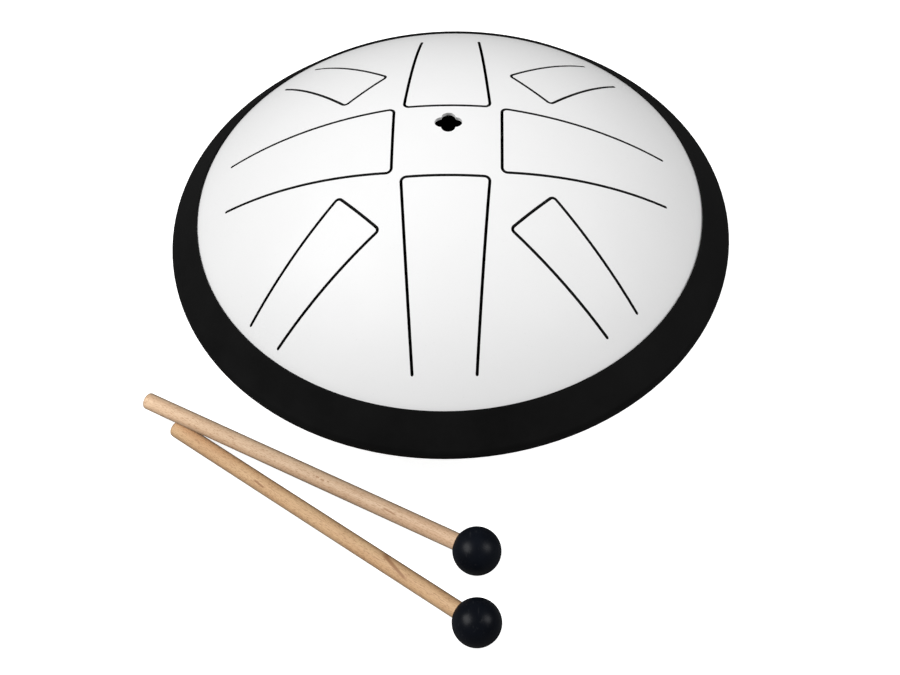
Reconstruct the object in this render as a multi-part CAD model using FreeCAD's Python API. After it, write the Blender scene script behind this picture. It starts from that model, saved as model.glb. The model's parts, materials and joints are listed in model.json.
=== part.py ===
# Steel tongue drum with a rubber rim ring, lying beside its pair of rubber-headed mallets.
# Millimetres, +Z up. The origin is on the floor under the drum's axis; -Y is the player's side.
import FreeCAD, Part
import math
import os
from FreeCAD import Vector

# ---- Driving dimensions of the drum -----------------------------------------------------------
SHELL_R = 127.0            # outside radius of the two pressed bowls at the seam (10 inch across)
STEEL = 1.6                # sheet thickness
DOME_RISE = 60.7           # seam plane to the top of the dome
DOME_R = 168.7             # outside radius of the spherical dome
BASE_DEPTH = 50.0          # seam plane to the flat bottom of the lower bowl
SEAM_GAP = 1.2             # gap between the bowls' edges, filled by the weld
HEM_BEND = 3.0             # outside bend radius where the dome turns down into its short hem
BASE_BEND = 12.0           # outside bend radius around the flat bottom

RING_R = 130.0             # widest radius over the rim ring
RING_NOSE = 4.4            # radius of the ring's rounded nose
RING_INNER_R = 116.5       # where the ring's lip stops on the dome
LIP = 1.7                  # how far the lip stands above the steel
LIP_ROUND = 0.35           # rounding of the lip's edges
WELD_CROWN = 0.5           # how far the weld bead stands proud of the hem
WELD_HALF_WIDTH = 1.6

BASE_RING_H = 6.0          # rubber ring under the lower bowl
BASE_RING_IN_R = 40.0
BASE_RING_OUT_R = 55.5
BASE_RING_ROUND = 1.2
SEAM_Z = BASE_DEPTH + BASE_RING_H

# ---- Openings ---------------------------------------------------------------------------------
SLIT = 1.35                # width of the cut around each tongue
LONG_TIP = 19.5            # half width of the four long tongues at their free ends
LONG_CORNER = 2.4          # corner radius of their cuts
SHORT_TIP = 13.15          # the same two sizes for the four short tongues
SHORT_CORNER = 1.8
SHORT_TIP_R = 53.1         # distance of the short tongues' free ends from the drum's axis
# name: (azimuth, free end, half width there, root, half width at the root, corner radius)
TONGUES = {
    "front": (-90, 22.2, LONG_TIP, 104.0, 13.75, LONG_CORNER),
    "back": (90, 20.1, LONG_TIP, 85.5, 13.7, LONG_CORNER),
    "left": (180, 23.8, LONG_TIP, 100.5, 13.95, LONG_CORNER),
    "right": (0, 24.7, LONG_TIP, 98.0, 14.35, LONG_CORNER),
    "front_left": (-135, SHORT_TIP_R, SHORT_TIP, 111.6, 9.1, SHORT_CORNER),
    "front_right": (-45, SHORT_TIP_R, SHORT_TIP, 107.6, 9.45, SHORT_CORNER),
    "back_left": (135, SHORT_TIP_R, SHORT_TIP, 102.4, 9.65, SHORT_CORNER),
    "back_right": (45, SHORT_TIP_R, SHORT_TIP, 100.9, 9.9, SHORT_CORNER),
}
SOUND_HOLE = (0.85, 8.7)   # centre of the four-lobed hole, just behind the top of the dome
LOBE_R = 3.2
LOBE_OFFSET = 3.0          # each lobe reaches past the hole's centre
PORT_R = 25.0              # round port in the flat bottom

# ---- Fixings of the base ring: M4 pan-head screws into blind rivet nuts ------------------------
FIXING_COUNT = 4
FIXING_PITCH_R = 48.0
THREAD_R = 2.0
NUT_BODY_R = 3.0
NUT_FLANGE_R = 4.5
NUT_FLANGE_T = 0.8
NUT_BULGE_R = 4.2
NUT_BULGE_H = 3.0
NUT_BULGE_CHAMFER = 1.0
NUT_LENGTH = 9.5           # behind the flange
WASHER_R = 4.5
WASHER_HOLE_R = 2.15
WASHER_T = 0.8
WASHER_SEAT_Z = 4.0        # underside of the rubber web that the washers clamp
HEAD_R = 4.0
HEAD_H = 2.2
HEAD_ROUND = 0.9
SCREW_LENGTH = 10.0
RECESS_W = 1.0             # cross recess in the screw heads
RECESS_L = 4.4
RECESS_DEPTH = 1.3
COUNTERBORE_R = 5.0
RUBBER_HOLE_R = 2.3
NUT_POCKET_CLEARANCE = 0.1

# ---- Mallets: a beech stick pressed into a rubber ball -----------------------------------------
STICK_R = 4.0
STICK_PAST_CENTRE = 3.0    # how far the stick runs on inside the head
HANDLE_ROUND = 1.5
TIP_CHAMFER = 0.6
MALLET_HEAD_R = 10.8
MOUTH_ROUND = 0.4          # softened edge where the stick enters the head
BORE_SPARE = 0.5           # air behind the pressed-in end
REAR_HANDLE_Z = 11.6       # the rear stick rests on the front one near its handle end
# name: (head centre x and y, heading from handle to head, height of the handle end,
#        distance from the handle end to the centre of the head)
MALLETS = {
    "rear": (12.9, -148.9, -27.66, REAR_HANDLE_Z, 175.0),
    "front": (13.1, -184.1, -36.76, STICK_R, 177.2),
}

SAME = 1e-4                # lengths closer than this are taken as equal
AXIS = Vector(0, 0, 1)
ORIGIN = Vector(0, 0, 0)


def at(r, z):
    """A point of a turned profile: radius r, height z above the seam plane."""
    return Vector(r, 0, SEAM_Z + z)


def sphere_z(radius, r):
    """Height above the seam of a sphere that shares the dome's centre."""
    return DOME_RISE - DOME_R + math.sqrt(radius ** 2 - r ** 2)


def sphere_r(radius, z):
    """Radius of that sphere, or of its mirror image below the seam, at the given height."""
    return math.sqrt(radius ** 2 - (abs(z) - DOME_RISE + DOME_R) ** 2)


def sphere_arc(radius, r_end):
    """Profile arc along that sphere, from the drum's axis out to the given radius."""
    points = [at(r, sphere_z(radius, r)) for r in (0, r_end / 2, r_end)]
    return Part.Arc(*points).toShape()


def polyline(*points):
    return Part.makePolygon(list(points)).Edges


def turned(edges):
    """Solid of revolution about the drum's axis."""
    wire = Part.Wire(Part.__sortEdges__(edges))
    return Part.Face(wire).revolve(ORIGIN, AXIS, 360)


def round_edges(shape):
    """The shape's circular edges; the zero-length edges at a sphere's poles are passed over."""
    whole = [edge for edge in shape.Edges if not edge.Degenerated]
    return [edge for edge in whole if hasattr(edge.Curve, "Radius")]


def circles(shape, r, z):
    """Circular edges of the given radius at the given height above the seam."""
    centre_z = SEAM_Z + z
    return [
        edge for edge in round_edges(shape)
        if abs(edge.Curve.Radius - r) < SAME and abs(edge.Curve.Center.z - centre_z) < SAME
    ]


def mirrored_below(shape):
    return shape.mirror(Vector(0, 0, SEAM_Z), AXIS)


def prism(wire, height):
    return Part.Face(wire).extrude(Vector(0, 0, height))


def tube(r_out, r_in, z, height):
    outer = Part.makeCylinder(r_out, height, Vector(0, 0, z))
    return outer.cut(Part.makeCylinder(r_in, height, Vector(0, 0, z)))


def around(shape):
    """One copy of the shape at each fixing of the base ring, as a group of solids."""
    step = 360 / FIXING_COUNT
    copies = []
    for index in range(FIXING_COUNT):
        copy = shape.copy()
        copy.translate(Vector(FIXING_PITCH_R, 0, 0))
        copy.rotate(ORIGIN, AXIS, step * (index + 0.5))
        copies.append(copy)
    return Part.makeCompound(copies)


# ---- Pressed bowls ----------------------------------------------------------------------------
def filled_dome(radius, hem_r, bend):
    """Everything under a sphere that shares the dome's centre, with a short upright hem."""
    corner_z = sphere_z(radius, hem_r)
    edge_z = SEAM_GAP / 2
    under = polyline(at(hem_r, corner_z), at(hem_r, edge_z), at(0, edge_z), at(0, sphere_z(radius, 0)))
    dome = turned([sphere_arc(radius, hem_r), *under])
    return dome.makeFillet(bend, circles(dome, hem_r, corner_z))


def filled_bowl(radius, hem_r, hem_bend, depth, base_bend):
    """A filled dome turned over and cut off flat at the given depth, with a rounded corner."""
    bowl = mirrored_below(filled_dome(radius, hem_r, hem_bend))
    above_flat = Part.makeCylinder(2 * hem_r, depth, Vector(0, 0, SEAM_Z - depth))
    bowl = bowl.common(above_flat)
    return bowl.makeFillet(base_bend, circles(bowl, sphere_r(radius, -depth), -depth))


def plain_upper_bowl():
    sizes = (DOME_R, SHELL_R, HEM_BEND)
    inside_sizes = [size - STEEL for size in sizes]
    return filled_dome(*sizes).cut(filled_dome(*inside_sizes))


def plain_lower_bowl():
    sizes = (DOME_R, SHELL_R, HEM_BEND, BASE_DEPTH, BASE_BEND)
    inside_sizes = [size - STEEL for size in sizes]
    return filled_bowl(*sizes).cut(filled_bowl(*inside_sizes))


def slit_prism(azimuth, tip, tip_half, root, root_half, corner):
    """Cutter for the U-shaped slit that frees a tongue on three sides, open at its outer root."""
    corners = [
        Vector(root, -root_half, SEAM_Z),
        Vector(tip, -tip_half, SEAM_Z),
        Vector(tip, tip_half, SEAM_Z),
        Vector(root, root_half, SEAM_Z),
    ]
    path = rounded_path(corners, corner)
    outline = path.makeOffset2D(SLIT / 2, join=0, fill=False, openResult=False)
    cutter = prism(outline, DOME_RISE + STEEL)
    cutter.rotate(ORIGIN, AXIS, azimuth)
    return cutter


def rounded_path(points, radius):
    """Open wire through the points, with an arc of the given radius at each inner point."""
    edges = []
    start = points[0]
    for before, point, after in zip(points, points[1:], points[2:]):
        inward = (before - point).normalize()
        onward = (after - point).normalize()
        half_angle = inward.getAngle(onward) / 2
        reach = radius / math.tan(half_angle)
        middle = (inward + onward).normalize()
        centre = point + middle * (radius / math.sin(half_angle))
        first, last = point + inward * reach, point + onward * reach
        edges.append(Part.makeLine(start, first))
        edges.append(Part.Arc(first, centre - middle * radius, last).toShape())
        start = last
    edges.append(Part.makeLine(start, points[-1]))
    return Part.Wire(edges)


def sound_hole_prism():
    """Cutter for the four-lobed sound hole."""
    centre = Vector(*SOUND_HOLE, SEAM_Z)
    lobes = []
    for x, y in ((1, 0), (0, 1), (-1, 0), (0, -1)):
        place = centre + Vector(x, y, 0) * LOBE_OFFSET
        lobes.append(Part.makeCylinder(LOBE_R, DOME_RISE + STEEL, place))
    return lobes[0].fuse(lobes[1:]).removeSplitter()


def upper_shell():
    cutters = [slit_prism(*tongue) for tongue in TONGUES.values()]
    return plain_upper_bowl().cut([*cutters, sound_hole_prism()])


def lower_shell():
    port = Part.makeCylinder(PORT_R, SEAM_Z)
    nut_holes = around(Part.makeCylinder(NUT_BODY_R, SEAM_Z / 2))
    return plain_lower_bowl().cut([port, *nut_holes.Solids])


# ---- Seam and rim ring ------------------------------------------------------------------------
def seam_weld():
    """Weld bead: a root between the two edges and a low crown outside them."""
    root_r = SHELL_R - STEEL
    half_gap = SEAM_GAP / 2
    toe_low, toe_high = at(SHELL_R, -WELD_HALF_WIDTH), at(SHELL_R, WELD_HALF_WIDTH)
    crown = Part.Arc(toe_low, at(SHELL_R + WELD_CROWN, 0), toe_high).toShape()
    root = [at(SHELL_R, half_gap), at(root_r, half_gap), at(root_r, -half_gap), at(SHELL_R, -half_gap)]
    return turned([crown, *polyline(toe_high, *root, toe_low)])


def ring_outline():
    """Ring section before the steel is taken out: two straight flanks joined by a rounded nose."""
    nose_centre_r = RING_R - RING_NOSE
    lip_z = sphere_z(DOME_R, RING_INNER_R) + LIP
    lip_r = RING_INNER_R - nose_centre_r
    tangent = math.atan2(lip_z, lip_r) - math.acos(RING_NOSE / math.hypot(lip_r, lip_z))
    flank_r = nose_centre_r + RING_NOSE * math.cos(tangent)
    flank_z = RING_NOSE * math.sin(tangent)
    low, high = at(flank_r, -flank_z), at(flank_r, flank_z)
    nose = Part.Arc(low, at(RING_R, 0), high).toShape()
    return [nose, *polyline(high, at(RING_INNER_R, lip_z), at(RING_INNER_R, -lip_z), low)]


def steel_body():
    """Everything inside the bowls' outer surfaces and the weld, as one filled solid."""
    cap = filled_dome(DOME_R, SHELL_R, HEM_BEND)
    middle = Part.makeCylinder(SHELL_R, SEAM_GAP, Vector(0, 0, SEAM_Z - SEAM_GAP / 2))
    return cap.fuse([mirrored_below(cap), middle, seam_weld()])


def rim_ring():
    """U-section rubber ring that grips both bowls' edges and covers the weld."""
    lip_z = sphere_z(DOME_R, RING_INNER_R) + LIP
    ring = turned(ring_outline())
    lips = circles(ring, RING_INNER_R, lip_z) + circles(ring, RING_INNER_R, -lip_z)
    return ring.makeFillet(LIP_ROUND, lips).cut(steel_body())


# ---- Base ring and its fixings ----------------------------------------------------------------
def base_ring():
    """Flat rubber ring that the drum stands on, with a recess for each fixing."""
    ring = tube(BASE_RING_OUT_R, BASE_RING_IN_R, 0, BASE_RING_H)
    rims = circles(ring, BASE_RING_OUT_R, -SEAM_Z) + circles(ring, BASE_RING_IN_R, -SEAM_Z)
    ring = ring.makeFillet(BASE_RING_ROUND, rims)
    counterbore = Part.makeCylinder(COUNTERBORE_R, WASHER_SEAT_Z)
    hole = Part.makeCylinder(RUBBER_HOLE_R, BASE_RING_H)
    pocket_depth = NUT_FLANGE_T + NUT_POCKET_CLEARANCE
    pocket_place = Vector(0, 0, BASE_RING_H - pocket_depth)
    pocket = Part.makeCylinder(NUT_FLANGE_R + NUT_POCKET_CLEARANCE, pocket_depth, pocket_place)
    return ring.cut(around(counterbore.fuse([hole, pocket])).Solids)


def base_rivet_nuts():
    """Blind rivet nuts: a flange outside the sheet, a pulled bulge inside it and a threaded body."""
    sheet_inside = BASE_RING_H + STEEL
    flange = Part.makeCylinder(NUT_FLANGE_R, NUT_FLANGE_T, Vector(0, 0, BASE_RING_H - NUT_FLANGE_T))
    body = Part.makeCylinder(NUT_BODY_R, NUT_LENGTH, Vector(0, 0, BASE_RING_H))
    bulge = Part.makeCylinder(NUT_BULGE_R, NUT_BULGE_H, Vector(0, 0, sheet_inside))
    bulge_top = circles(bulge, NUT_BULGE_R, sheet_inside + NUT_BULGE_H - SEAM_Z)
    bulge = bulge.makeChamfer(NUT_BULGE_CHAMFER, bulge_top)
    nut = flange.fuse([body, bulge]).removeSplitter()
    return around(nut.cut(Part.makeCylinder(THREAD_R, SEAM_Z)))


def base_washers():
    return around(tube(WASHER_R, WASHER_HOLE_R, WASHER_SEAT_Z - WASHER_T, WASHER_T))


def base_screws():
    """Pan-head screws with a cross recess, heads down."""
    seat_z = WASHER_SEAT_Z - WASHER_T
    head_z = seat_z - HEAD_H
    head = Part.makeCylinder(HEAD_R, HEAD_H, Vector(0, 0, head_z))
    head = head.makeFillet(HEAD_ROUND, circles(head, HEAD_R, head_z - SEAM_Z))
    shank = Part.makeCylinder(THREAD_R, SCREW_LENGTH, Vector(0, 0, seat_z))
    recess_size = ((RECESS_L, RECESS_W), (RECESS_W, RECESS_L))
    recess = [Part.makeBox(x, y, RECESS_DEPTH, Vector(-x / 2, -y / 2, head_z)) for x, y in recess_size]
    return around(head.fuse(shank).removeSplitter().cut(recess))


# ---- Mallets ----------------------------------------------------------------------------------
def laid_down(shape, name):
    """Move a mallet piece from its own axis (+X, handle end at the origin) to its resting place."""
    x, y, heading, handle_z, reach = MALLETS[name]
    angle = math.radians(heading)
    rise = MALLET_HEAD_R - handle_z
    run = math.sqrt(reach ** 2 - rise ** 2)
    direction = Vector(run * math.cos(angle), run * math.sin(angle), rise)
    handle = Vector(x, y, MALLET_HEAD_R) - direction
    placed = shape.copy()
    placed.Placement = FreeCAD.Placement(handle, FreeCAD.Rotation(Vector(1, 0, 0), direction))
    return placed


def along_x(radius, length, start=0.0):
    return Part.makeCylinder(radius, length, Vector(start, 0, 0), Vector(1, 0, 0))


def end_circle(shape, x):
    """Circular edge of a stick or bore that lies in the plane at the given x."""
    return [edge for edge in round_edges(shape) if abs(edge.Curve.Center.x - x) < SAME]


def head_distance(name):
    """Distance from a mallet's handle end to the centre of its head."""
    return MALLETS[name][-1]


def mallet_stick(name):
    length = head_distance(name) + STICK_PAST_CENTRE
    stick = along_x(STICK_R, length)
    stick = stick.makeFillet(HANDLE_ROUND, end_circle(stick, 0))
    stick = stick.makeChamfer(TIP_CHAMFER, end_circle(stick, length))
    return laid_down(stick, name)


def mallet_head(name):
    """Rubber ball with a blind bore for the stick."""
    centre_x = head_distance(name)
    ball = Part.makeSphere(MALLET_HEAD_R, Vector(centre_x, 0, 0), Vector(1, 0, 0))
    bore_start = centre_x - MALLET_HEAD_R - STICK_R
    bore_end = centre_x + STICK_PAST_CENTRE + BORE_SPARE
    head = ball.cut(along_x(STICK_R, bore_end - bore_start, bore_start))
    mouth_x = centre_x - math.sqrt(MALLET_HEAD_R ** 2 - STICK_R ** 2)
    return laid_down(head.makeFillet(MOUTH_ROUND, end_circle(head, mouth_x)), name)


def export(name, shape):
    """Write the shape's solids as one STEP file named after its node."""
    solids = shape.Solids
    result = solids[0] if len(solids) == 1 else Part.makeCompound(solids)
    if not result.isValid():
        raise ValueError(name + " is not a valid solid")
    result.exportStep(os.path.join("parts", name + ".step"))


def main():
    os.makedirs("parts", exist_ok=True)
    pieces = {
        "upper_shell": upper_shell(),
        "lower_shell": lower_shell(),
        "seam_weld": seam_weld(),
        "rim_ring": rim_ring(),
        "base_ring": base_ring(),
        "base_rivet_nuts": base_rivet_nuts(),
        "base_washers": base_washers(),
        "base_screws": base_screws(),
    }
    for name in MALLETS:
        pieces[name + "_mallet_stick"] = mallet_stick(name)
        pieces[name + "_mallet_head"] = mallet_head(name)
    for name, shape in pieces.items():
        export(name, shape)


main()
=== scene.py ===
"""Looks of the steel tongue drum and its mallets: materials, stage, light and camera."""
import json
import math

import bpy
from mathutils import Matrix, Vector


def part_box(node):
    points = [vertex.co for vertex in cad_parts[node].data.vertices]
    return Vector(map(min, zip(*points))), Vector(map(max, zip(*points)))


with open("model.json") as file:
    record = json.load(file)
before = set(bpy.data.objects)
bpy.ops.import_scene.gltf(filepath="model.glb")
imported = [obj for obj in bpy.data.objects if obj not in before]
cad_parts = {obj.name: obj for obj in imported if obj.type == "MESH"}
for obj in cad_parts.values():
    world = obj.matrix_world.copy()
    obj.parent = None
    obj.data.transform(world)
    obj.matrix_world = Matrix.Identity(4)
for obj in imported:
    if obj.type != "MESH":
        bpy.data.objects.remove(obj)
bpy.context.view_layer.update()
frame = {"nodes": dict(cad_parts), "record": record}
nodes = frame["nodes"]

# ---- Places taken from the frame, in metres -----------------------------------------------------
MM = 0.001
RING_LOW, RING_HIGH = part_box("rim_ring")
RING_R = (RING_HIGH.x - RING_LOW.x) / 2                     # widest radius of the drum
SEAM = Vector((0, 0, (RING_LOW.z + RING_HIGH.z) / 2))       # centre of the ring's widest circle
BASE_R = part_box("base_ring")[1].x                           # the ring that the drum stands on
SOUND_HOLE = Vector((0.85, 8.7, 0)) * MM                    # its centre, seen from above
SOUND_HOLE_REACH = 8 * MM                                   # clears the hole, stays short of the tongues
HALF_STICK = 90 * MM                                        # from its middle to where the painted light towards its ends is strongest
EMPTY_AREA = 1e-14                                          # square metres: no real face is so small

# ---- Camera: angles in degrees, distances in ring radii -----------------------------------------
CAMERA_AZIMUTH = 2.6145
CAMERA_ELEVATION = 48.7226
CAMERA_ROLL = -2.5071
CAMERA_DISTANCE = 6.3773
CAMERA_AIM = Vector((0.0083, -0.5058, 0))
CAMERA_LENS = 70.566                                        # in millimetres, as the sensor
SENSOR_WIDTH = 36

# ---- Stage --------------------------------------------------------------------------------------
FLOOR_HALF = 4.0
FLOOR_SHADE = 0.8
FLOOR_SHADOW_UNDER = 0.04                                          # painted shadow: its shade under the drum, seen through the port
FLOOR_BOUNCE = 0.5                                          # share of its shade that the pieces are lit with
FLOOR_GLOW = 0.86                                           # seen by the camera on top of the lit paper
FLOOR_NEAR, FLOOR_FAR = 0.45, 1.3                           # the glow rises to full white between these
PAINTED_SHADOW_RIM = 1.2                                              # the painted shadow under the drum fades out at this many base radii
WORLD_FILL = 0.12
BOX_DISTANCE = 1.5
# Boxes for the drum and the floor, one on each side
DRUM_BOXES = {
    "drum_left_box": dict(direction=(-0.528, -0.046, 0.848), size=(1.0, 1.0), power=20.8),
    "drum_right_box": dict(direction=(0.732, -0.129, 0.669), size=(1.0, 1.0), power=10.3),
}
# Boxes for the mallets, by the pieces that they light: directions along the camera's right, up and back
MALLET_BOXES = {
    "left_box": dict(part="head", in_view=(-0.73, 0.24, 0.64), size=(1.0, 0.8), power=46),
    "right_box": dict(part="head", in_view=(0.73, 0.24, 0.64), size=(0.6, 0.7), power=23.5),
    "near_box": dict(part="stick", in_view=(-0.44, 0.15, 0.88), size=(0.55, 0.45), power=8.4,
                     distance=0.9),
}

# ---- Brown marks in the wood, in millimetres ----------------------------------------------------
# (along the stick from its middle, towards its upper edge, half length, half width, slope in degrees)
MARKS = {
    "rear": ((5.5, 1.2, 0.8, 0.3, 0), (8.2, 0.9, 0.9, 0.3, 0), (11, 1.3, 0.6, 0.25, 0),
             (43, 0.8, 3.2, 0.35, -3)),
    "front": ((42.5, 1.9, 7.8, 0.6, -12), (-35, 0.6, 3.0, 0.45, -4)),
}

# Which way is towards the visible side's upper edge: share of the stick's up and, taken away, of its side
EDGE_UP, EDGE_SIDE = 0.66, 0.75

# ---- Grain of the wood: changes per metre along and across the stick, and a shift of its own --------
GRAIN = {
    "bands": (9, 330, 0),
    "drift": (24, 60, 7),
    "fibre": (70, 4200, 13),
    "rays": (520, 3000, 29),
    "pores": (760, 2600, 41),
}
SEED_STEP = 17.3                                            # keeps the two sticks' grain apart


# ---- Node graphs --------------------------------------------------------------------------------
class Graph:
    """Nodes added by name to a tree: add(type, inputs, settings) returns the new node."""

    def __init__(self, tree):
        self.tree = tree
        tree.nodes.clear()

    def add(self, kind, inputs=None, **settings):
        node = self.tree.nodes.new("ShaderNode" + kind)
        for key, value in settings.items():
            setattr(node, key, value)
        for key, value in (inputs or {}).items():
            self.feed(node.inputs[key], value)
        return node

    def feed(self, socket, value):
        if isinstance(value, bpy.types.NodeSocket):
            self.tree.links.new(value, socket)
        elif isinstance(value, bpy.types.Node):
            self.tree.links.new(value.outputs[0], socket)
        else:
            socket.default_value = value

    def math(self, operation, *values):
        node = self.add("Math", operation=operation)
        for socket, value in zip(node.inputs, values):
            self.feed(socket, value)
        return node

    def vector_math(self, operation, *values, output="Vector"):
        node = self.add("VectorMath", operation=operation)
        for socket, value in zip(node.inputs, values):
            self.feed(socket, value)
        return node.outputs[output]

    def dot(self, first, second):
        return self.vector_math("DOT_PRODUCT", first, second, output="Value")

    def noise(self, vector, scale, detail=2.0, roughness=0.5, distortion=0.0):
        inputs = {"Vector": vector, "Scale": scale, "Detail": detail, "Roughness": roughness,
                  "Distortion": distortion}
        return self.add("TexNoise", inputs)

    def remap(self, value, low, high, to_low=0.0, to_high=1.0):
        inputs = {"Value": value, "From Min": low, "From Max": high, "To Min": to_low, "To Max": to_high}
        return self.add("MapRange", inputs)

    def mix(self, factor, first, second, blend="MIX"):
        node = self.add("Mix", data_type="RGBA", blend_type=blend)
        for key, value in (("Factor_Float", factor), ("A_Color", first), ("B_Color", second)):
            self.feed(next(s for s in node.inputs if s.identifier == key), value)
        return next(s for s in node.outputs if s.identifier == "Result_Color")

    def bump(self, height, distance, strength=1.0):
        return self.add("Bump", {"Height": height, "Distance": distance, "Strength": strength})

    def place(self):
        """Position on the piece, which is also its place in the room at rest."""
        return self.add("TexCoord").outputs["Object"]

    def seen_or_lit(self, seen, lit):
        """One value for rays straight from the camera, another for every other ray."""
        return self.remap(self.add("LightPath").outputs["Is Camera Ray"], 0, 1, lit, seen)


class Paint(Graph):
    """Graph of a new material."""

    def __init__(self, name):
        self.material = bpy.data.materials.new(name)
        self.material.use_nodes = True
        super().__init__(self.material.node_tree)

    def finish(self, **inputs):
        """Principled shader with the given inputs, underscores standing for spaces."""
        shader = self.add("BsdfPrincipled", {key.replace("_", " "): value for key, value in inputs.items()})
        self.add("OutputMaterial", {"Surface": shader})
        return self.material


def grey(value):
    return (value, value, value, 1)


def rgb(red, green, blue):
    return (red, green, blue, 1)


def scaled(shade, factor):
    """The same colour, lighter or darker by a factor."""
    return rgb(*(channel * factor for channel in shade[:3]))


# ---- Shades -------------------------------------------------------------------------------------
COAT = 0.87
# Slit walls get painted shade, dark as the narrow gaps look; the sound hole's wall keeps the white coat
HOLE_WALL, SLIT_PAINTED_SHADE = grey(0.92), grey(0.035)
INSIDE_PAINTED_SHADE = (grey(0.012), grey(0.024))                     # painted shade: near black inside of the bowls, cloudy between these
RING_RUBBER, BASE_RUBBER = grey(0.0050), grey(0.012)
HEAD_RUBBER = rgb(0.0021, 0.0026, 0.0040)
WELD_STEEL, ZINC = rgb(0.42, 0.40, 0.38), rgb(0.66, 0.66, 0.64)
# Of each stick: pale wood, warm wood, flecks, and how much painted light makes its ends paler
WOOD = {
    "rear": (rgb(0.69, 0.505, 0.34), rgb(0.60, 0.41, 0.265), rgb(0.34, 0.18, 0.09), 0.30),
    "front": (rgb(0.69, 0.475, 0.27), rgb(0.61, 0.38, 0.205), rgb(0.31, 0.155, 0.075), 0.05),
}


# ---- Materials ----------------------------------------------------------------------------------
def powder_coat(name, shade):
    """Satin white powder coat with a fine orange peel, white on the sound hole's wall; slit walls and the
    inside of the bowl dark with painted shade."""
    g = Paint(name)
    place = g.place()
    outward = g.vector_math("NORMALIZE", g.vector_math("SUBTRACT", place, SEAM))
    normal = g.add("NewGeometry").outputs["True Normal"]
    facing = g.dot(outward, normal)
    upright = g.remap(g.math("ABSOLUTE", g.dot(normal, (0, 0, 1))), 0.1, 0.2, 1, 0)
    peel = g.noise(place, 900, 3, 0.55)
    grain = g.noise(place, 3200, 2, 0.5)
    height = g.math("ADD", peel, g.math("MULTIPLY", grain, 0.35))
    cloud = g.noise(place, 22, 3, 0.6)
    coat = g.mix(g.remap(cloud, 0.35, 0.65), grey(shade), grey(shade * 0.985))
    specks = g.remap(g.noise(place, 1500, 1, 0.5), 0.73, 0.76, 0, 0.12)
    coat = g.mix(specks, coat, grey(shade * 0.5))
    # Painted shade: the inside of the bowl is near black, as it looks through the slits
    steel = g.mix(g.remap(g.noise(place, 120, 4, 0.6), 0.3, 0.7), *INSIDE_PAINTED_SHADE)
    flat_place = g.vector_math("MULTIPLY", place, (1, 1, 0))
    from_hole = g.vector_math("LENGTH", g.vector_math("SUBTRACT", flat_place, SOUND_HOLE), output="Value")
    # Cut walls: white near the sound hole, painted shade on the slit walls
    cut_wall = g.mix(g.remap(from_hole, SOUND_HOLE_REACH, SOUND_HOLE_REACH + 2 * MM), HOLE_WALL, SLIT_PAINTED_SHADE)
    colour = g.mix(upright, g.mix(g.remap(facing, -0.6, -0.4), steel, coat), cut_wall)
    return g.finish(Base_Color=colour, Roughness=g.remap(cloud, 0.3, 0.7, 0.38, 0.46),
                    Specular_IOR_Level=0.15, Normal=g.bump(height, 0.012 * MM, 0.6))


def black_rubber(name, shade, roughness, specular, scuffs=0.0):
    """Moulded black rubber: fine matt grain that hides glancing reflections, and a few fine rub marks."""
    g = Paint(name)
    place = g.place()
    grain = g.noise(place, 2600, 3, 0.6)
    cloud = g.noise(place, 45, 4, 0.6)
    streak_place = g.vector_math("MULTIPLY", place, (1.0, 0.22, 0.6))
    streaks = g.remap(g.noise(streak_place, 1100, 2, 0.6, 0.4), 0.62, 0.72, 0, scuffs)
    rough = g.math("ADD", g.remap(cloud, 0.3, 0.7, roughness - 0.05, roughness + 0.06), streaks)
    colour = g.mix(g.remap(cloud, 0.35, 0.7), shade, scaled(shade, 1.5))
    colour = g.mix(g.math("MULTIPLY", streaks, 0.12), colour, grey(0.3))
    glancing = g.add("LayerWeight", {"Blend": 0.5}).outputs["Facing"]
    sheen = g.remap(glancing, 0.35, 0.85, specular, specular * 0.05)
    return g.finish(Base_Color=colour, Roughness=rough, Specular_IOR_Level=sheen,
                    Normal=g.bump(grain, 0.01 * MM, 0.5))


def bare_metal(name, shade, roughness):
    """Plated or welded steel with a cloudy, slightly pitted skin."""
    g = Paint(name)
    place = g.place()
    cloud = g.noise(place, 260, 4, 0.65)
    colour = g.mix(g.remap(cloud, 0.3, 0.7), shade, scaled(shade, 0.8))
    return g.finish(Base_Color=colour, Metallic=1.0,
                    Roughness=g.remap(cloud, 0.3, 0.7, roughness - 0.08, roughness + 0.1),
                    Normal=g.bump(g.noise(place, 1800, 3, 0.6), 0.01 * MM, 0.6))


def stick_axes(name):
    """Middle of a stick and its own axes: along towards the head, sideways to the player, and up."""
    low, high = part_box(name + "_mallet_stick")
    head_low, head_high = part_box(name + "_mallet_head")
    middle = (low + high) / 2
    along = ((head_low + head_high) / 2 - middle).normalized()
    side = along.cross(Vector((0, 0, 1))).normalized()
    return middle, along, side, side.cross(along)


def wood_mark(g, run, offset, wobble, mark):
    """Mask of one brown mark: a narrow sloping patch with soft, slightly wandering edges."""
    centre_run, centre_offset, half_length, half_width = (size * MM for size in mark[:4])
    slope = math.radians(mark[4])
    from_run = g.math("SUBTRACT", run, centre_run)
    from_offset = g.math("ADD", g.math("SUBTRACT", offset, centre_offset),
                         g.remap(wobble, 0.3, 0.7, -0.4 * MM, 0.4 * MM))
    lengthwise = g.math("ADD", g.math("MULTIPLY", from_run, math.cos(slope)),
                        g.math("MULTIPLY", from_offset, math.sin(slope)))
    crosswise = g.math("SUBTRACT", g.math("MULTIPLY", from_offset, math.cos(slope)),
                       g.math("MULTIPLY", from_run, math.sin(slope)))
    within_length = g.remap(g.math("ABSOLUTE", lengthwise), half_length * 0.8, half_length * 1.2, 1, 0)
    within_width = g.remap(g.math("ABSOLUTE", crosswise), half_width * 0.6, half_width * 1.4, 0.85, 0)
    return g.math("MULTIPLY", within_length, within_width)


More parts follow.
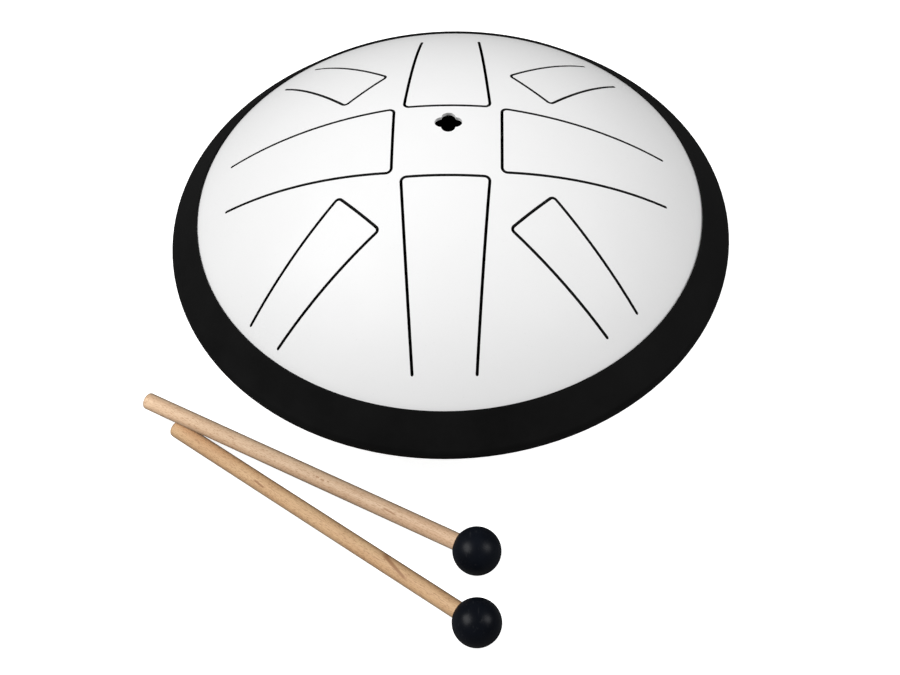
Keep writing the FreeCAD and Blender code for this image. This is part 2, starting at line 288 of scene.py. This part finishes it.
def beech(name, seed):
    """Sanded beech: growth bands, fine fibre, ray flecks and darker end grain, with painted light towards its
    ends and painted shade where it turns away from the view.
    """
    pale, warm, fleck, painted_end_light = WOOD[name]
    middle, along, side, up = stick_axes(name)
    g = Paint(name + "_beech")
    local = g.vector_math("SUBTRACT", g.place(), middle)
    run, across, rise = (g.dot(local, axis) for axis in (along, side, up))

    def grain(kind, *noise_settings):
        """Noise drawn out along the stick by the scales of one kind of grain."""
        along_scale, across_scale, shift = GRAIN[kind]
        parts = {"X": g.math("MULTIPLY_ADD", run, along_scale, seed + shift),
                 "Y": g.math("MULTIPLY", across, across_scale), "Z": g.math("MULTIPLY", rise, across_scale)}
        return g.noise(g.add("CombineXYZ", parts), 1, *noise_settings)

    bands = grain("bands", 2, 0.5, 0.3)
    drift = grain("drift", 2, 0.5)
    fibre = grain("fibre", 3, 0.65)
    rays = grain("rays", 1, 0.4)
    pores = grain("pores", 1, 0.4)
    tone = g.math("ADD", g.math("MULTIPLY", bands, 0.6), g.math("MULTIPLY", drift, 0.4))
    colour = g.mix(g.remap(tone, 0.36, 0.62), pale, warm)
    colour = g.mix(g.remap(fibre, 0.38, 0.75, 0, 0.45), colour, fleck)
    colour = g.mix(g.remap(rays, 0.58, 0.70, 0, 0.58), colour, fleck)
    colour = g.mix(g.remap(pores, 0.58, 0.70, 0, 0.5), colour, fleck)
    towards_edge = g.math("SUBTRACT", g.math("MULTIPLY", rise, EDGE_UP),
                          g.math("MULTIPLY", across, EDGE_SIDE))
    for mark in MARKS[name]:
        colour = g.mix(wood_mark(g, run, towards_edge, drift, mark), colour, fleck)
    # Painted light: the colour grows paler towards both ends of the stick
    towards_end = g.math("POWER", g.math("DIVIDE", run, HALF_STICK), 2)
    colour = g.vector_math("MULTIPLY", colour, g.math("MULTIPLY_ADD", towards_end, painted_end_light, 1))
    end = g.math("ABSOLUTE", g.dot(g.add("NewGeometry").outputs["True Normal"], along))
    colour = g.mix(g.remap(end, 0.3, 0.9, 0, 0.25), colour, fleck)
    # Painted shade: darker where the surface turns away from the view, along the stick's edges as seen and
    # where the sticks cross
    glancing = g.add("LayerWeight", {"Blend": 0.5}).outputs["Facing"]
    colour = g.vector_math("MULTIPLY", colour, g.remap(glancing, 0.3, 0.85, 1, 0.55))
    height = g.math("ADD", g.math("MULTIPLY", fibre, 0.7), g.math("MULTIPLY", rays, 0.5))
    return g.finish(Base_Color=colour, Roughness=g.remap(fibre, 0.35, 0.7, 0.52, 0.66),
                    Specular_IOR_Level=0.3, Normal=g.bump(height, 0.04 * MM, 0.5))


def drop_empty_faces():
    """Leave out the one face without area that each spherical face has at its pole."""
    tree = bpy.data.node_groups.new("drop_empty_faces", "GeometryNodeTree")
    for direction in ("INPUT", "OUTPUT"):
        tree.interface.new_socket("Geometry", in_out=direction, socket_type="NodeSocketGeometry")
    entry, leave = tree.nodes.new("NodeGroupInput"), tree.nodes.new("NodeGroupOutput")
    area = tree.nodes.new("GeometryNodeInputMeshFaceArea")
    empty = tree.nodes.new("FunctionNodeCompare")
    empty.operation = "LESS_THAN"
    empty.inputs["B"].default_value = EMPTY_AREA
    drop = tree.nodes.new("GeometryNodeDeleteGeometry")
    drop.domain = "FACE"
    tree.links.new(area.outputs["Area"], empty.inputs["A"])
    tree.links.new(entry.outputs["Geometry"], drop.inputs["Geometry"])
    tree.links.new(empty.outputs["Result"], drop.inputs["Selection"])
    tree.links.new(drop.outputs["Geometry"], leave.inputs["Geometry"])
    for name in ("upper_shell", "rear_mallet_head", "front_mallet_head"):
        nodes[name].modifiers.new("drop_empty_faces", "NODES").node_group = tree


def paint(obj, material):
    """Put one material on every face of an object."""
    obj.data.materials.clear()
    obj.data.materials.append(material)


def dress():
    """Give every CAD piece its material."""
    white = powder_coat("white_powder_coat", COAT)
    paint(nodes["upper_shell"], white)
    paint(nodes["lower_shell"], white)
    paint(nodes["seam_weld"], bare_metal("weld_bead", WELD_STEEL, 0.4))
    paint(nodes["rim_ring"], black_rubber("ring_rubber", RING_RUBBER, 0.55, 0.05))
    paint(nodes["base_ring"], black_rubber("base_rubber", BASE_RUBBER, 0.6, 0.2))
    for name in ("base_rivet_nuts", "base_washers", "base_screws"):
        paint(nodes[name], bare_metal(name + "_zinc", ZINC, 0.34))
    head = black_rubber("head_rubber", HEAD_RUBBER, 0.34, 0.042, scuffs=0.12)
    for step, name in enumerate(WOOD):
        paint(nodes[name + "_mallet_stick"], beech(name, SEED_STEP * step))
        paint(nodes[name + "_mallet_head"], head)


# ---- Stage, camera and light --------------------------------------------------------------------
def make_floor():
    """White paper, returned as an object, darkened with painted shadow under the drum's base. For the camera
    it also glows, except under the drum's base.
    """
    mesh = bpy.data.meshes.new("studio_floor")
    corners = [(x * FLOOR_HALF, y * FLOOR_HALF, 0) for x, y in ((-1, -1), (1, -1), (1, 1), (-1, 1))]
    mesh.from_pydata(corners, [], [(0, 1, 2, 3)])
    floor = bpy.data.objects.new("studio_floor", mesh)
    bpy.context.scene.collection.objects.link(floor)
    g = Paint("floor_paper")
    from_axis = g.vector_math("LENGTH", g.place(), output="Value")
    # 0 under the drum's base, where the painted shadow lies, and 1 on the open floor
    open_floor = g.remap(from_axis, BASE_R, BASE_R * PAINTED_SHADOW_RIM)
    near_or_far = g.remap(from_axis, FLOOR_NEAR, FLOOR_FAR, FLOOR_GLOW, 1)
    glow = g.math("MULTIPLY", open_floor, g.seen_or_lit(near_or_far, 0))
    fibres = g.remap(g.noise(g.place(), 700, 3, 0.6), 0.3, 0.7, 0.98, 1.0)
    # Painted shadow: the paper is darkened under the drum's base
    shade = g.math("MULTIPLY", g.remap(open_floor, 0, 1, FLOOR_SHADOW_UNDER, FLOOR_SHADE), fibres)
    shade = g.math("MULTIPLY", shade, g.seen_or_lit(1, FLOOR_BOUNCE))
    paint(floor, g.finish(Base_Color=shade, Roughness=0.9, Specular_IOR_Level=0.0,
                          Emission_Color=grey(1), Emission_Strength=glow))
    return floor


def view_axes():
    """The camera's place and its right, up and back axes."""
    azimuth, elevation = math.radians(CAMERA_AZIMUTH), math.radians(CAMERA_ELEVATION)
    level = math.cos(elevation)
    place = SEAM + CAMERA_DISTANCE * RING_R * Vector((
        math.sin(azimuth) * level, -math.cos(azimuth) * level, math.sin(elevation)))
    back = (place - SEAM - CAMERA_AIM * RING_R).normalized()
    right = Vector((0, 0, 1)).cross(back).normalized()
    up = back.cross(right)
    roll = math.radians(CAMERA_ROLL)
    turned_right = right * math.cos(roll) + up * math.sin(roll)
    turned_up = up * math.cos(roll) - right * math.sin(roll)
    return place, turned_right, turned_up, back


def make_camera():
    """The scene's camera, at its place and turned to its axes."""
    place, right, up, back = view_axes()
    data = bpy.data.cameras.new("camera")
    data.lens = CAMERA_LENS
    data.sensor_width = SENSOR_WIDTH
    camera = bpy.data.objects.new("camera", data)
    camera.matrix_world = Matrix.Translation(place) @ Matrix((right, up, back)).transposed().to_4x4()
    bpy.context.scene.collection.objects.link(camera)
    bpy.context.scene.camera = camera


def in_room(right_part, up_part, back_part):
    """A direction given along the camera's own axes, turned into the room's."""
    _, right, up, back = view_axes()
    return right * right_part + up * up_part + back * back_part


def soft_box(name, receivers, direction, size, power, distance=BOX_DISTANCE):
    """Rectangular area light that faces the drum from a direction and lights only its receivers."""
    data = bpy.data.lights.new(name, "AREA")
    data.shape = "RECTANGLE"
    data.size, data.size_y = size
    data.energy = power
    light = bpy.data.objects.new(name, data)
    direction = Vector(direction).normalized()
    light.location = SEAM + direction * distance
    light.rotation_mode = "QUATERNION"
    light.rotation_quaternion = direction.to_track_quat("Z", "Y")
    bpy.context.scene.collection.objects.link(light)
    lit = bpy.data.collections.new(name + "_receivers")
    for receiver in receivers:
        lit.objects.link(receiver)
    light.light_linking.receiver_collection = lit
    return light


def make_lights(floor):
    """A large box on each side for the drum and the floor, and three smaller ones for the mallets."""
    bodies = frame["record"]["behaviour"]["bodies"]
    drum = [nodes[name] for name in bodies["drum"]]
    mallets = [nodes[name] for name in bodies["rear_mallet"] + bodies["front_mallet"]]
    for name, box in DRUM_BOXES.items():
        soft_box(name, [*drum, floor], **box)
    blockers = bpy.data.collections.new("mallets")
    for mallet in mallets:
        blockers.objects.link(mallet)
    for name, box in MALLET_BOXES.items():
        receivers = [mallet for mallet in mallets if mallet.name.endswith(box["part"])]
        distance = box.get("distance", BOX_DISTANCE)
        light = soft_box(name, receivers, in_room(*box["in_view"]), box["size"], box["power"], distance)
        light.light_linking.blocker_collection = blockers
    world = bpy.data.worlds.new("studio")
    world.use_nodes = True
    g = Graph(world.node_tree)
    background = g.add("Background", {"Color": grey(1), "Strength": g.seen_or_lit(1.0, WORLD_FILL)})
    g.add("OutputWorld", {"Surface": background})
    bpy.context.scene.world = world
    bpy.context.scene.view_settings.view_transform = "Standard"


drop_empty_faces()
dress()
paper = make_floor()
make_camera()
make_lights(paper)
